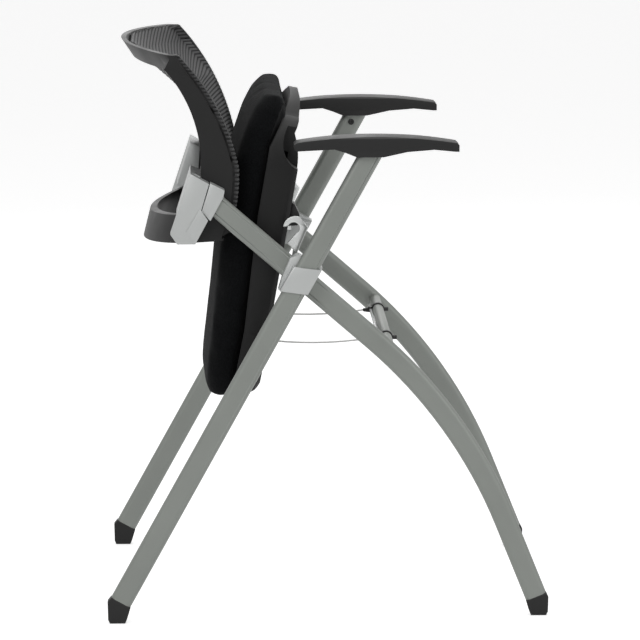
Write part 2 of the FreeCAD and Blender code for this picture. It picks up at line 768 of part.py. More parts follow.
def arc_at(points, z):
    """First coordinate of the arc through three points where its second one is z."""
    (ax, az), (bx, bz), (cx, cz) = points
    d = 2.0 * (ax * (bz - cz) + bx * (cz - az) + cx * (az - bz))
    a2, b2, c2 = ax * ax + az * az, bx * bx + bz * bz, cx * cx + cz * cz
    ox = (a2 * (bz - cz) + b2 * (cz - az) + c2 * (az - bz)) / d
    oz = (a2 * (cx - bx) + b2 * (ax - cx) + c2 * (bx - ax)) / d
    radius = math.hypot(ax - ox, az - oz)
    reach = math.sqrt(radius * radius - (z - oz) ** 2)
    return ox + reach if bx > ox else ox - reach


def front_edge(z):
    return arc_at(front_upper if z > front_lower[0][1] else front_lower, z)


def outer_face(z):
    """Distance of the upright's outer face from the middle."""
    if z > splay[2][1]:
        return back_half_top
    return arc_at(splay, z) if z > splay_low_z else back_half_low


def mid(point):
    return point + (0,)


def front_strip(side, out, width):
    """Front-view strip that splays with an upright, from a distance in from its outer face."""
    low_out = side * (back_half_low - out)
    low_in = side * (back_half_low - out - width)
    top_out = side * (back_half_top - out)
    top_in = side * (back_half_top - out - width)
    belly = splay[1][0] - out
    return slab_yz([(top_out, 800.0), (top_out, splay[2][1]), (side * belly, splay[1][1], 0),
                    (low_out, splay_low_z), (low_out, back_low_z - 10), (low_in, back_low_z - 10),
                    (low_in, splay_low_z), (side * (belly - width), splay[1][1], 0), (top_in, splay[2][1]),
                    (top_in, 800.0)], -330.0, -80.0)


def behind_back():
    """Everything ahead of the uprights' rear edge, to trim what seats against it."""
    return slab_xz([rear_lower[0], mid(rear_lower[1]), rear_lower[2], (-60.0, rear_lower[2][1]),
                    (-60.0, back_low_z)], -300.0, 300.0)


def upright(side):
    """Back upright: its side view cut by a front-view strip that splays outwards."""
    outline = [front_upper[0], mid(front_upper[1]), front_upper[2], mid(front_lower[1]), front_lower[2],
               (front_lower[2][0] - 1.5, back_low_z + 2.0), rear_lower[0], mid(rear_lower[1]), rear_lower[2],
               mid(rear_upper[1]), rear_upper[2]]
    return slab_xz(outline, -260.0, 260.0).common(front_strip(side, 0.0, back_rim))


def arc_band(front_x, bow, half, thick, z, ahead=0.0):
    """Level band bowed backwards between two arcs; its front corners may stand ahead."""
    a = V(front_x + ahead, -half, z)
    b = V(front_x + ahead, half, z)
    c = V(front_x - thick, half, z)
    d = V(front_x - thick, -half, z)
    return Part.Face(Part.Wire([
        Part.Arc(a, V(front_x - bow, 0, z), b).toShape(), Part.LineSegment(b, c).toShape(),
        Part.Arc(c, V(front_x - bow - thick, 0, z), d).toShape(), Part.LineSegment(d, a).toShape()]))


rail_lean = V(14.0, 0, -21.0)
rail_lean.normalize()
rail_half = back_half_top - 0.5
rail_corner = V(front_upper[0][0], 0, front_upper[0][1])
rail_low = rail_corner + rail_lean * rail_height
rail_tip = math.degrees(math.atan2(rail_rise, rail_bow))


def top_rail():
    """Top rail of the back, bowed backwards and tipped with the back's slope."""
    face = arc_band(0.0, rail_bow, rail_half, rail_thick, 0.0, edging_back)
    face.rotate(V(0, 0, 0), Y_AXIS, rail_tip)
    face.translate(rail_corner)
    return face.extrude(rail_lean * rail_height)


def low_rail():
    """Low front rail under the mesh, with the mesh's bow."""
    reach = back_half_low - mesh_step - edging_width
    face = arc_band(front_edge(back_low_z + 8.0) - 4.0, mesh_low_bow - edging_back, reach, low_rail_thick,
                    back_low_z, edging_back)
    return face.extrude(V(7.0, 0, low_rail_height))


def bowed(reach, half, sag):
    """How far an arc of a given sag over its half width lies behind its ends at a reach."""
    radius = (half * half + sag * sag) / (2.0 * sag)
    return math.sqrt(radius * radius - reach * reach) - (radius - sag)


def mesh_stations():
    """Height, half width, front x at the sides, sag and tilt of each level of the mesh."""
    stations = []
    low = back_low_z + 4.0
    full = rail_bow + edging_back
    for share in (0.0, 0.2, 0.4, 0.6, 0.8):
        z = low + (rail_low.z - low) * share
        half = outer_face(z) - mesh_step - edging_width - mesh_gap
        sag = mesh_low_bow + (full - mesh_low_bow) * share ** 1.5
        sink = mesh_sink * (1.0 - share)
        stations.append((z, half, front_edge(z) + mesh_lead - sink, sag - sink, rail_rise * share))
    for corner in (rail_low, rail_corner - V(0, 0, 1.0)):
        half = outer_face(corner.z) - mesh_step - edging_width - mesh_gap
        drop = bowed(half, rail_half, full)
        stations.append((corner.z, half, corner.x + mesh_lead - drop, full - drop, rail_rise))
    return stations


def mesh_section(station, ahead=0.0, behind=0.0, beside=0.0):
    """Closed level section of the mesh: its two bowed faces and its two edges, which may stand out."""
    z, half, front, sag, tilt = station
    fore = V(ahead, 0, -ahead * tilt / sag)
    back = V(-mesh_thick - behind, 0, (mesh_thick + behind) * tilt / sag)
    rise = math.hypot(sag, tilt)
    wider = -bowed(half + beside, half, rise) / rise
    a = V(front + wider * sag, -half - beside, z - wider * tilt)
    b = V(front + wider * sag, half + beside, z - wider * tilt)
    apex = V(front - sag, 0, z + tilt)
    return Part.Wire([Part.Arc(a + fore, apex + fore, b + fore).toShape(), Part.makeLine(b + fore, b + back),
                      Part.Arc(b + back, apex + back, a + back).toShape(), Part.makeLine(a + back, a + fore)])


def mesh_rebate():
    """Room that the back frame leaves for the mesh, from just behind it to well ahead."""
    return Part.makeLoft([mesh_section(station, 14.0, rebate_gap, mesh_gap + 0.5)
                          for station in mesh_stations()], True, True)


def mesh_edging(side):
    """Moulded strip on the front of an upright that holds the mesh's edge."""
    top = front_upper[0]
    toe = back_low_z + 14.0
    belly = front_lower[1][1]
    outline = [top, mid(front_upper[1]), front_upper[2], mid(front_lower[1]), front_lower[2],
               (front_edge(toe) + mesh_lead, toe), (front_edge(belly) + mesh_lead, belly, 0),
               (front_upper[2][0] + mesh_lead, front_upper[2][1]),
               (front_upper[1][0] + mesh_lead, front_upper[1][1], 0), (top[0] + mesh_lead, top[1])]
    strip = slab_xz(outline, -260.0, 260.0).common(front_strip(side, mesh_step, edging_width))
    return strip.cut(top_rail())


def back_mesh():
    """Taut mesh panel: one thin bowed sheet between the two edgings, over both rails."""
    return Part.makeLoft([mesh_section(station) for station in mesh_stations()], True, True)


def screw_pad(side):
    """Pad of the back frame, behind the mesh, that the bracket's wing screws to."""
    pad = [(-190.0, bracket_low_z), (-190.0, 613.0), (-166.0, 613.0), (-170.0, 575.0, 0), (-173.0, bracket_low_z)]
    body = slab_sides(pad, bracket_inner + 2.0, back_half_low - back_rim / 2.0, side)
    return body.common(behind_back())


def back_frame():
    """Moulded back frame: two splayed uprights, a bowed top rail, a low front rail and two pads."""
    frame = upright(-1).fuse([upright(1), top_rail(), low_rail(), screw_pad(-1), screw_pad(1)])
    frame = frame.cut(mesh_rebate())
    return frame.cut(bracket_screws())


def back_ring():
    """Bowed band below the back, a hand hold between two ends on the uprights."""
    half = back_half_low - back_rim
    face = arc_band(0.0, ring_bow, half, ring_thick, 0.0)
    face.rotate(V(0, 0, 0), Y_AXIS, -ring_tilt)
    face.translate(V(rear_lower[0][0] + 15.0, 0, back_low_z))
    band = face.extrude(leaning(ring_lean) * ring_height)
    return band.cut([screw_pad(-1), screw_pad(1)])


def back_bracket(side):
    """Cast bracket: an outer cheek that takes the curved leg and a wing behind the back."""
    outer = curved_y + tube_thick / 2.0 + collar_grow
    foot_z = back_low_z + 1.0
    cheek = [(-187.0, 615.0), (-162.0, 601.0), (-173.0, 564.0), (-163.5, 551.5), (-181.0, foot_z),
             (-205.5, foot_z), (-214.5, foot_z + 13.5)]
    body = slab_sides(cheek, back_half_low, outer, side)
    facet = [(-174.0, 567.5), (-163.5, 551.5), (-181.0, foot_z), (-193.0, foot_z + 17.5)]
    body = body.fuse(slab_sides(facet, outer - 2.0, outer + bracket_facet_out, side))
    wing = [(-187.0, 615.0), (-160.0, 602.0), (-160.0, bracket_low_z), (-206.5, bracket_low_z)]
    body = body.fuse(slab_sides(wing, bracket_inner, back_half_low + 1.0, side).cut(behind_back()))
    return body.cut(curved_end(side)).cut(back_collar(side)).cut(bracket_screws())


def curved_end(side):
    """Upper end of the curved leg in the back's own frame, to seat it in the castings."""
    top = V(back_home_x, side * curved_y, back_home_z)
    return oval_face(top, fall, tube_width, tube_thick).extrude(fall * 80)


def back_collar(side):
    """Collar that closes the joint of curved leg and bracket."""
    outer = curved_y + tube_thick / 2.0 + collar_grow
    outline = [(-160.2, 602.0), (-141.0, 592.0), (-142.5, 583.0), (-160.0, 551.0), (-162.2, 552.5),
               (-172.0, 564.0)]
    return slab_sides(outline, back_half_low, outer, side).cut(curved_end(side))


def bracket_screws():
    """Two flush screws from behind through each bracket wing into the back frame."""
    screws = []
    axis = leaning(-14.0)
    for _, side in SIDES:
        for share in (0.25, 0.75):
            y = bracket_inner + (back_half_low - back_rim - bracket_inner) * share
            seat = V(-195.0, side * y, 588.0)
            head = stud(bracket_screw_radius + 2.0, 2.6, seat, axis)
            shank = stud(bracket_screw_radius, 20.0, seat, axis)
            screws.append(head.fuse(shank))
    return Part.makeCompound(screws)


def mount_back(shape):
    """Carry a piece from the back's own frame to the curved legs' upper ends."""
    moved = shape.copy()
    moved.translate(V(curved_top.x - back_home_x, 0, curved_top.z - back_home_z))
    return moved


def main():
    os.makedirs("parts", exist_ok=True)
    pairs = {
        "straight_leg": straight_leg, "curved_leg": curved_leg, "rear_foot": rear_foot,
        "front_foot": front_foot, "cross_joint": cross_joint, "cross_cover": cross_cover,
        "hook_plate": hook_plate, "stay_wire": stay_wire, "wire_grommet": wire_grommet,
        "wire_anchor": wire_anchor, "yoke_clip": yoke_clip, "armrest": armrest,
        "pivot_saddle": pivot_saddle, "rest_pad": rest_pad}
    back_pairs = {"back_bracket": back_bracket, "back_collar": back_collar, "mesh_edging": mesh_edging}
    singles = {
        "front_crossbar": front_crossbar, "wire_yoke": wire_yoke, "pivot_rod": pivot_rod,
        "armrest_screws": armrest_screws, "seat_cushion": seat_cushion, "seat_pan": seat_pan,
        "saddle_screws": saddle_screws}
    back_singles = {"back_frame": back_frame, "back_mesh": back_mesh, "back_ring": back_ring,
                    "bracket_screws": bracket_screws}
    for name, make in pairs.items():
        for word, side in SIDES:
            save(make(side), name + "_" + word)
    for name, make in back_pairs.items():
        for word, side in SIDES:
            save(mount_back(make(side)), name + "_" + word)
    for name, make in singles.items():
        save(make(), name)
    for name, make in back_singles.items():
        save(mount_back(make()), name)


main()
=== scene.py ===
import json
import math
import bpy
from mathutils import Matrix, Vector
from mathutils.bvhtree import BVHTree


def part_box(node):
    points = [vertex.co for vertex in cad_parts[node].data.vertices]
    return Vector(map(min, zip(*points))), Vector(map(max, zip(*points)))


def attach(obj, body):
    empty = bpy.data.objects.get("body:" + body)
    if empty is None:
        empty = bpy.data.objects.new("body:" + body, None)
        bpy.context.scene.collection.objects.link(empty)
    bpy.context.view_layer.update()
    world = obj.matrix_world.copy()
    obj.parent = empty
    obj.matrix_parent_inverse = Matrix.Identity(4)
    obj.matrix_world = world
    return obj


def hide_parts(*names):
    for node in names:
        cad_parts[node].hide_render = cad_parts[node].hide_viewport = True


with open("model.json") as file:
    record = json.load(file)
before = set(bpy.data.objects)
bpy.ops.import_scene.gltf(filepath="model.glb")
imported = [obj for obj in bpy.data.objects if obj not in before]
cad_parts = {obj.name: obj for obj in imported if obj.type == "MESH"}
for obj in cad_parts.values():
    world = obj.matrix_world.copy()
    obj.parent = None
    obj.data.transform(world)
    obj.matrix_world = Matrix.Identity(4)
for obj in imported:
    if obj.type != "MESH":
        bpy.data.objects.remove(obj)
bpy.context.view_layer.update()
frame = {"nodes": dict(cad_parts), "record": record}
cadNodes = frame["nodes"]
scene = bpy.context.scene
print("frame loaded with", len(cadNodes), "nodes")

bodyOf = {}
for bodyName, members in frame["record"]["behaviour"]["bodies"].items():
    for member in members:
        bodyOf[member] = bodyName
sides = ("right", "left")


# small tools

cleaning = {"mergeWithin": 0.00002, "flatAngle": 0.6}


def pick(*objects):
    bpy.ops.object.select_all(action="DESELECT")
    for obj in objects:
        obj.select_set(True)
    bpy.context.view_layer.objects.active = objects[-1]


def addModifier(obj, kind, **values):
    modifier = obj.modifiers.new(kind.lower(), kind)
    for key, value in values.items():
        setattr(modifier, key, value)
    return modifier


def applyNow(obj, kind, **values):
    modifier = addModifier(obj, kind, **values)
    pick(obj)
    bpy.ops.object.modifier_apply(modifier=modifier.name)


def copyOfNode(nodeName, pieceName):
    pick(cadNodes[nodeName])
    bpy.ops.object.duplicate()
    piece = bpy.context.active_object
    for key in list(piece.keys()):
        del piece[key]
    piece.parent = None
    piece.name = pieceName
    piece.data.name = pieceName
    piece.data.materials.clear()
    bpy.ops.object.mode_set(mode="EDIT")
    bpy.ops.mesh.select_all(action="SELECT")
    bpy.ops.mesh.remove_doubles(threshold=cleaning["mergeWithin"])
    bpy.ops.mesh.dissolve_limited(angle_limit=math.radians(cleaning["flatAngle"]))
    bpy.ops.object.mode_set(mode="OBJECT")
    return piece


def softEdges(piece, width, segments=2, angle=30):
    applyNow(piece, "BEVEL", width=width, segments=segments, limit_method="ANGLE",
             angle_limit=math.radians(angle), use_clamp_overlap=True, harden_normals=False)


def smoothBy(piece, angle=38):
    pick(piece)
    bpy.ops.object.shade_smooth_by_angle(angle=math.radians(angle))


def seat(piece, nodeName, material):
    piece.data.materials.clear()
    piece.data.materials.append(material)
    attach(piece, bodyOf[nodeName])
    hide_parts(nodeName)
    return piece


# shader node groups

def newGroup(name, inputs, outputs):
    group = bpy.data.node_groups.new(name, "ShaderNodeTree")
    for label, kind, value in inputs:
        socket = group.interface.new_socket(name=label, in_out="INPUT", socket_type=kind)
        if value is not None:
            socket.default_value = value
    for label, kind in outputs:
        group.interface.new_socket(name=label, in_out="OUTPUT", socket_type=kind)
    source = group.nodes.new("NodeGroupInput")
    target = group.nodes.new("NodeGroupOutput")
    return group, source, target


def node(tree, kind, **values):
    made = tree.nodes.new(kind)
    for key, value in values.items():
        if key.startswith("in_"):
            made.inputs[key[3:].replace("_", " ")].default_value = value
        else:
            setattr(made, key, value)
    return made


def moulding():
    # fine spark-eroded grain of moulded plastic, with a patchy painted highlight that lightens upward faces
    group, source, target = newGroup(
        "mouldedGrain",
        [("Color", "NodeSocketColor", (0.05, 0.05, 0.05, 1)), ("Grain Size", "NodeSocketFloat", 900.0),
         ("Depth", "NodeSocketFloat", 0.1), ("Roughness", "NodeSocketFloat", 0.5),
         ("Dust", "NodeSocketFloat", 0.1)],
        [("Color", "NodeSocketColor"), ("Roughness", "NodeSocketFloat"), ("Normal", "NodeSocketVector")])
    link = group.links.new
    place = node(group, "ShaderNodeTexCoord")
    grain = node(group, "ShaderNodeTexNoise", in_Detail=2.0, in_Roughness=0.6)
    cloud = node(group, "ShaderNodeTexNoise", in_Scale=14.0, in_Detail=4.0)
    bump = node(group, "ShaderNodeBump", in_Distance=0.0002)
    shape = node(group, "ShaderNodeNewGeometry")
    facing = node(group, "ShaderNodeSeparateXYZ")
    # painted highlight: faces turned up are tinted lighter, in cloudy patches, as if lit from above
    upward = node(group, "ShaderNodeMapRange", in_From_Min=0.2, in_From_Max=1.0)
    paintedTopLight = node(group, "ShaderNodeMath", operation="MULTIPLY")
    share = node(group, "ShaderNodeMath", operation="MULTIPLY")
    tint = node(group, "ShaderNodeMix", data_type="RGBA")
    tint.inputs["B"].default_value = (0.24, 0.235, 0.225, 1)
    spread = node(group, "ShaderNodeMapRange", in_From_Min=0.35, in_From_Max=0.65, in_To_Min=-0.05,
                  in_To_Max=0.06)
    rough = node(group, "ShaderNodeMath", operation="ADD")
    link(place.outputs["Object"], grain.inputs["Vector"])
    link(place.outputs["Object"], cloud.inputs["Vector"])
    link(source.outputs["Grain Size"], grain.inputs["Scale"])
    link(grain.outputs["Fac"], bump.inputs["Height"])
    link(source.outputs["Depth"], bump.inputs["Strength"])
    link(shape.outputs["Normal"], facing.inputs["Vector"])
    link(facing.outputs["Z"], upward.inputs["Value"])
    link(upward.outputs["Result"], paintedTopLight.inputs[0])
    link(cloud.outputs["Fac"], paintedTopLight.inputs[1])
    link(paintedTopLight.outputs["Value"], share.inputs[0])
    link(source.outputs["Dust"], share.inputs[1])
    link(share.outputs["Value"], tint.inputs["Factor"])
    link(source.outputs["Color"], tint.inputs["A"])
    link(cloud.outputs["Fac"], spread.inputs["Value"])
    link(spread.outputs["Result"], rough.inputs[0])
    link(source.outputs["Roughness"], rough.inputs[1])
    link(tint.outputs["Result"], target.inputs["Color"])
    link(rough.outputs["Value"], target.inputs["Roughness"])
    link(bump.outputs["Normal"], target.inputs["Normal"])
    return group


def powder():
    # fine speckle and orange peel of a sprayed metallic coat
    group, source, target = newGroup(
        "sprayedCoat",
        [("Color", "NodeSocketColor", (0.24, 0.25, 0.23, 1)), ("Flake", "NodeSocketFloat", 0.12),
         ("Peel", "NodeSocketFloat", 0.06), ("Roughness", "NodeSocketFloat", 0.4)],
        [("Color", "NodeSocketColor"), ("Roughness", "NodeSocketFloat"), ("Normal", "NodeSocketVector")])
    link = group.links.new
    place = node(group, "ShaderNodeTexCoord")
    flake = node(group, "ShaderNodeTexNoise", in_Scale=2600.0, in_Detail=1.0)
    drift = node(group, "ShaderNodeTexNoise", in_Scale=9.0, in_Detail=3.0)
    peel = node(group, "ShaderNodeTexNoise", in_Scale=420.0, in_Detail=1.0)
    both = node(group, "ShaderNodeMath", operation="MULTIPLY_ADD")
    both.inputs[1].default_value = 0.75
    centred = node(group, "ShaderNodeMapRange", in_From_Min=0.2, in_From_Max=0.8, in_To_Min=-0.5, in_To_Max=0.5)
    shift = node(group, "ShaderNodeMath", operation="MULTIPLY_ADD")
    shift.inputs[2].default_value = 1.0
    tone = node(group, "ShaderNodeVectorMath", operation="SCALE")
    bump = node(group, "ShaderNodeBump", in_Distance=0.0002)
    spread = node(group, "ShaderNodeMapRange", in_From_Min=0.3, in_From_Max=0.7, in_To_Min=-0.04,
                  in_To_Max=0.05)
    rough = node(group, "ShaderNodeMath", operation="ADD")
    for texture in (flake, drift, peel):
        link(place.outputs["Object"], texture.inputs["Vector"])
    link(flake.outputs["Fac"], both.inputs[0])
    link(drift.outputs["Fac"], centred.inputs["Value"])
    link(centred.outputs["Result"], both.inputs[2])
    link(both.outputs["Value"], shift.inputs[0])
    link(source.outputs["Flake"], shift.inputs[1])
    link(source.outputs["Color"], tone.inputs["Vector"])
    link(shift.outputs["Value"], tone.inputs["Scale"])
    link(peel.outputs["Fac"], bump.inputs["Height"])
    link(source.outputs["Peel"], bump.inputs["Strength"])
    link(drift.outputs["Fac"], spread.inputs["Value"])
    link(spread.outputs["Result"], rough.inputs[0])
    link(source.outputs["Roughness"], rough.inputs[1])
    link(tone.outputs["Vector"], target.inputs["Color"])
    link(rough.outputs["Value"], target.inputs["Roughness"])
    link(bump.outputs["Normal"], target.inputs["Normal"])
    return group


def cloth():
    # close knit: small loops, a slow change of tone, and a little fluff
    group, source, target = newGroup(
        "closeKnit",
        [("Color", "NodeSocketColor", (0.01, 0.01, 0.01, 1)), ("Stitch Size", "NodeSocketFloat", 800.0),
         ("Depth", "NodeSocketFloat", 0.4)],
        [("Color", "NodeSocketColor"), ("Roughness", "NodeSocketFloat"), ("Normal", "NodeSocketVector")])
    link = group.links.new
    place = node(group, "ShaderNodeTexCoord")
    loops = node(group, "ShaderNodeTexVoronoi", feature="F1")
    fluff = node(group, "ShaderNodeTexNoise", in_Scale=2400.0, in_Detail=2.0)
    wander = node(group, "ShaderNodeTexNoise", in_Scale=18.0, in_Detail=4.0)
    height = node(group, "ShaderNodeMath", operation="MULTIPLY_ADD")
    height.inputs[1].default_value = 0.35
    bump = node(group, "ShaderNodeBump", in_Distance=0.0006)
    shade = node(group, "ShaderNodeMapRange", in_From_Min=0.0, in_From_Max=0.7, in_To_Min=1.35, in_To_Max=0.55)
    slow = node(group, "ShaderNodeMapRange", in_From_Min=0.3, in_From_Max=0.7, in_To_Min=0.85, in_To_Max=1.2)
    tone = node(group, "ShaderNodeMath", operation="MULTIPLY")
    tinted = node(group, "ShaderNodeVectorMath", operation="SCALE")
    rough = node(group, "ShaderNodeMapRange", in_From_Min=0.0, in_From_Max=0.7, in_To_Min=0.78, in_To_Max=0.95)
    for texture in (loops, fluff, wander):
        link(place.outputs["Object"], texture.inputs["Vector"])
    link(source.outputs["Stitch Size"], loops.inputs["Scale"])
    link(fluff.outputs["Fac"], height.inputs[0])
    link(loops.outputs["Distance"], height.inputs[2])
    link(height.outputs["Value"], bump.inputs["Height"])
    link(source.outputs["Depth"], bump.inputs["Strength"])
    link(loops.outputs["Distance"], shade.inputs["Value"])
    link(wander.outputs["Fac"], slow.inputs["Value"])
    link(shade.outputs["Result"], tone.inputs[0])
    link(slow.outputs["Result"], tone.inputs[1])
    link(source.outputs["Color"], tinted.inputs["Vector"])
    link(tone.outputs["Value"], tinted.inputs["Scale"])
    link(loops.outputs["Distance"], rough.inputs["Value"])
    link(tinted.outputs["Vector"], target.inputs["Color"])
    link(rough.outputs["Result"], target.inputs["Roughness"])
    link(bump.outputs["Normal"], target.inputs["Normal"])
    return group


mouldedGrain = moulding()
sprayedCoat = powder()
closeKnit = cloth()


# materials

def dressed(name, group, values, **shaderValues):
    material = bpy.data.materials.new(name)
    material.use_nodes = True
    tree = material.node_tree
    shader = tree.nodes["Principled BSDF"]
    made = tree.nodes.new("ShaderNodeGroup")
    made.node_tree = group
    for key, value in values.items():
        made.inputs[key].default_value = value
    for label, target in (("Color", "Base Color"), ("Roughness", "Roughness"), ("Normal", "Normal")):
        tree.links.new(made.outputs[label], shader.inputs[target])
    for key, value in shaderValues.items():
        shader.inputs[key.replace("_", " ")].default_value = value
    return material


def grey(level):
    return (level, level, level, 1)


# for the moulded plastics, the last grain value sets the painted highlight on their upward faces
finishes = {
    "frame_paint": dressed("silverPaint", sprayedCoat,
                           {"Color": (0.232, 0.246, 0.228, 1), "Flake": 0.16, "Peel": 0.05, "Roughness": 0.42},
                           Metallic=0.25),
    "silver_casting": dressed("satinCasting", sprayedCoat,
                              {"Color": (0.44, 0.452, 0.446, 1), "Flake": 0.08, "Peel": 0.04, "Roughness": 0.4},
                              Metallic=0.4),
    "foot_rubber": dressed("footRubber", mouldedGrain,
                           {"Color": grey(0.018), "Grain Size": 700.0, "Depth": 0.15, "Roughness": 0.6,
                            "Dust": 0.25}, Specular_IOR_Level=0.25),
    "hook_steel": dressed("platedSteel", sprayedCoat,
                          {"Color": (0.5, 0.51, 0.505, 1), "Flake": 0.05, "Peel": 0.03, "Roughness": 0.28},
                          Metallic=0.85),
    "wire_steel": dressed("strandedWire", sprayedCoat,
                          {"Color": (0.34, 0.34, 0.335, 1), "Flake": 0.3, "Peel": 0.2, "Roughness": 0.35},
                          Metallic=0.7),
    "screw_steel": dressed("blackenedScrew", sprayedCoat,
                           {"Color": grey(0.012), "Flake": 0.1, "Peel": 0.05, "Roughness": 0.35}, Metallic=0.4),
    "black_plastic": dressed("blackPlastic", mouldedGrain,
                             {"Color": grey(0.016), "Grain Size": 900.0, "Depth": 0.08, "Roughness": 0.42,
                              "Dust": 0.1}, Specular_IOR_Level=0.3),
    "armrest_plastic": dressed("armrestPlastic", mouldedGrain,
                               {"Color": grey(0.028), "Grain Size": 1100.0, "Depth": 0.22, "Roughness": 0.46,
                                "Dust": 0.08}, Specular_IOR_Level=0.14),
    "back_plastic": dressed("backPlastic", mouldedGrain,
                            {"Color": grey(0.024), "Grain Size": 1000.0, "Depth": 0.16, "Roughness": 0.44,
                             "Dust": 0.06}, Specular_IOR_Level=0.13),
    "pan_plastic": dressed("panPlastic", mouldedGrain,
                           {"Color": grey(0.016), "Grain Size": 1000.0, "Depth": 0.18, "Roughness": 0.5,
                            "Dust": 0.08}, Specular_IOR_Level=0.13),
    "seat_fabric": dressed("seatKnit", closeKnit,
                           {"Color": (0.0058, 0.0062, 0.0068, 1), "Stitch Size": 750.0, "Depth": 0.5},
                           Sheen_Weight=0.04, Sheen_Roughness=0.5, Specular_IOR_Level=0.05),
    "edging_fabric": dressed("edgingStrip", mouldedGrain,
                             {"Color": grey(0.010), "Grain Size": 900.0, "Depth": 0.2, "Roughness": 0.55,
                              "Dust": 0.05}, Specular_IOR_Level=0.2),
}
print("finishes made:", len(finishes))


# frame pieces: the CAD forms with their edges eased

dressing = {
    "straight_leg": {"slot": "frame_paint", "ease": 0.0},
    "curved_leg": {"slot": "frame_paint", "ease": 0.0},
    "rear_foot": {"slot": "foot_rubber", "ease": 0.0011},
    "front_foot": {"slot": "foot_rubber", "ease": 0.0011},
    "cross_joint": {"slot": "silver_casting", "ease": 0.0009},
    "cross_cover": {"slot": "silver_casting", "ease": 0.0011},
    "hook_plate": {"slot": "hook_steel", "ease": 0.0007},
    "stay_wire": {"slot": "wire_steel", "ease": 0.0},
    "wire_grommet": {"slot": "black_plastic", "ease": 0.0004},
    "wire_anchor": {"slot": "silver_casting", "ease": 0.0005},
    "yoke_clip": {"slot": "black_plastic", "ease": 0.0004},
    "armrest": {"slot": "armrest_plastic", "ease": 0.0016},
    "back_bracket": {"slot": "silver_casting", "ease": 0.0016},
    "back_collar": {"slot": "silver_casting", "ease": 0.0012},
    "mesh_edging": {"slot": "edging_fabric", "ease": 0.0},
    "pivot_saddle": {"slot": "black_plastic", "ease": 0.0008},
    "rest_pad": {"slot": "black_plastic", "ease": 0.0012},
    "front_crossbar": {"slot": "frame_paint", "ease": 0.0004},
    "wire_yoke": {"slot": "hook_steel", "ease": 0.0004},
    "pivot_rod": {"slot": "hook_steel", "ease": 0.0006},
    "armrest_screws": {"slot": "screw_steel", "ease": 0.0004},
    "bracket_screws": {"slot": "silver_casting", "ease": 0.0004},
    "saddle_screws": {"slot": "screw_steel", "ease": 0.0004},
    "back_frame": {"slot": "back_plastic", "ease": 0.0018},
    "back_ring": {"slot": "back_plastic", "ease": 0.0025},
    "seat_pan": {"slot": "pan_plastic", "ease": 0.0014},
}


def pieceNameOf(nodeName):
    words = nodeName.split("_")
    return words[0] + "".join(word.capitalize() for word in words[1:]) + "Piece"


def dressNode(nodeName, values):
    piece = copyOfNode(nodeName, pieceNameOf(nodeName))
    if values["ease"] > 0:
        softEdges(piece, values["ease"])
    smoothBy(piece)
    return seat(piece, nodeName, finishes[values["slot"]])


for family, values in dressing.items():
    if family in cadNodes:
        dressNode(family, values)
    else:
        for side in sides:
            dressNode(family + "_" + side, values)
print("frame pieces dressed")


# mesh of the back: ribs knitted across a taut sheet, square to the slope of its sides

backMesh = {
    # ribs
    "pitch": 0.0061, "stepsPerRib": 6, "ribHeight": 0.0012, "thick": 0.0008, "proud": 0.0005,
    # sampling of the CAD sheet and its moulded side strips
    "samples": 80, "columns": 48, "feel": 0.0002, "footTrim": 0.010, "ends": 0.0112, "spread": 3,
    "rimProbes": (0.004, 0.010), "insetProbes": (0.9995, 0.985), "topTrim": 0.0004, "footLift": 0.0006,
    "footBlend": 6.0, "mergeWithin": 0.00005, "smoothAngle": 60,
    # side strips: width, places across them, and depths down their outer sides
    "rim": 0.0129, "rimSpots": (0.0116, 0.0060, 0.0003), "wraps": (0.0012, 0.0030, 0.0048),
    "sideLift": 0.0002, "sideShare": 0.8, "openShare": 0.935, "rimFall": 5.0,
    # the knit hangs flatter than the CAD sheet between the uprights, below the rail
    "taut": 0.0105, "tautLow": 0.63, "tautHigh": 0.80,
    # measure of the ribs' UV map, where painted shade on the outer sides of the strips starts
    "span": 165.0, "rimStretch": 1.08, "wrapStretch": 8.0,
    "bowedWidth": 1.03,
}
knit = {
    # the gap colour is painted shade, near black, laid into the valleys between the ribs and over the strips'
    # outer sides
    "sheen": 0.12, "sheenRoughness": 0.45, "yarn": (0.043, 0.043, 0.044), "gap": (0.0035, 0.0035, 0.0038, 1),
    "gapStart": 0.22, "gapEnd": 0.38, "rimStart": 0.5, "rimEnd": 3.0, "rimPaintedShade": 0.85,
    "stitchStretch": (1.0, 9.0, 1.0), "roughLow": 0.6, "roughHigh": 0.9,
}


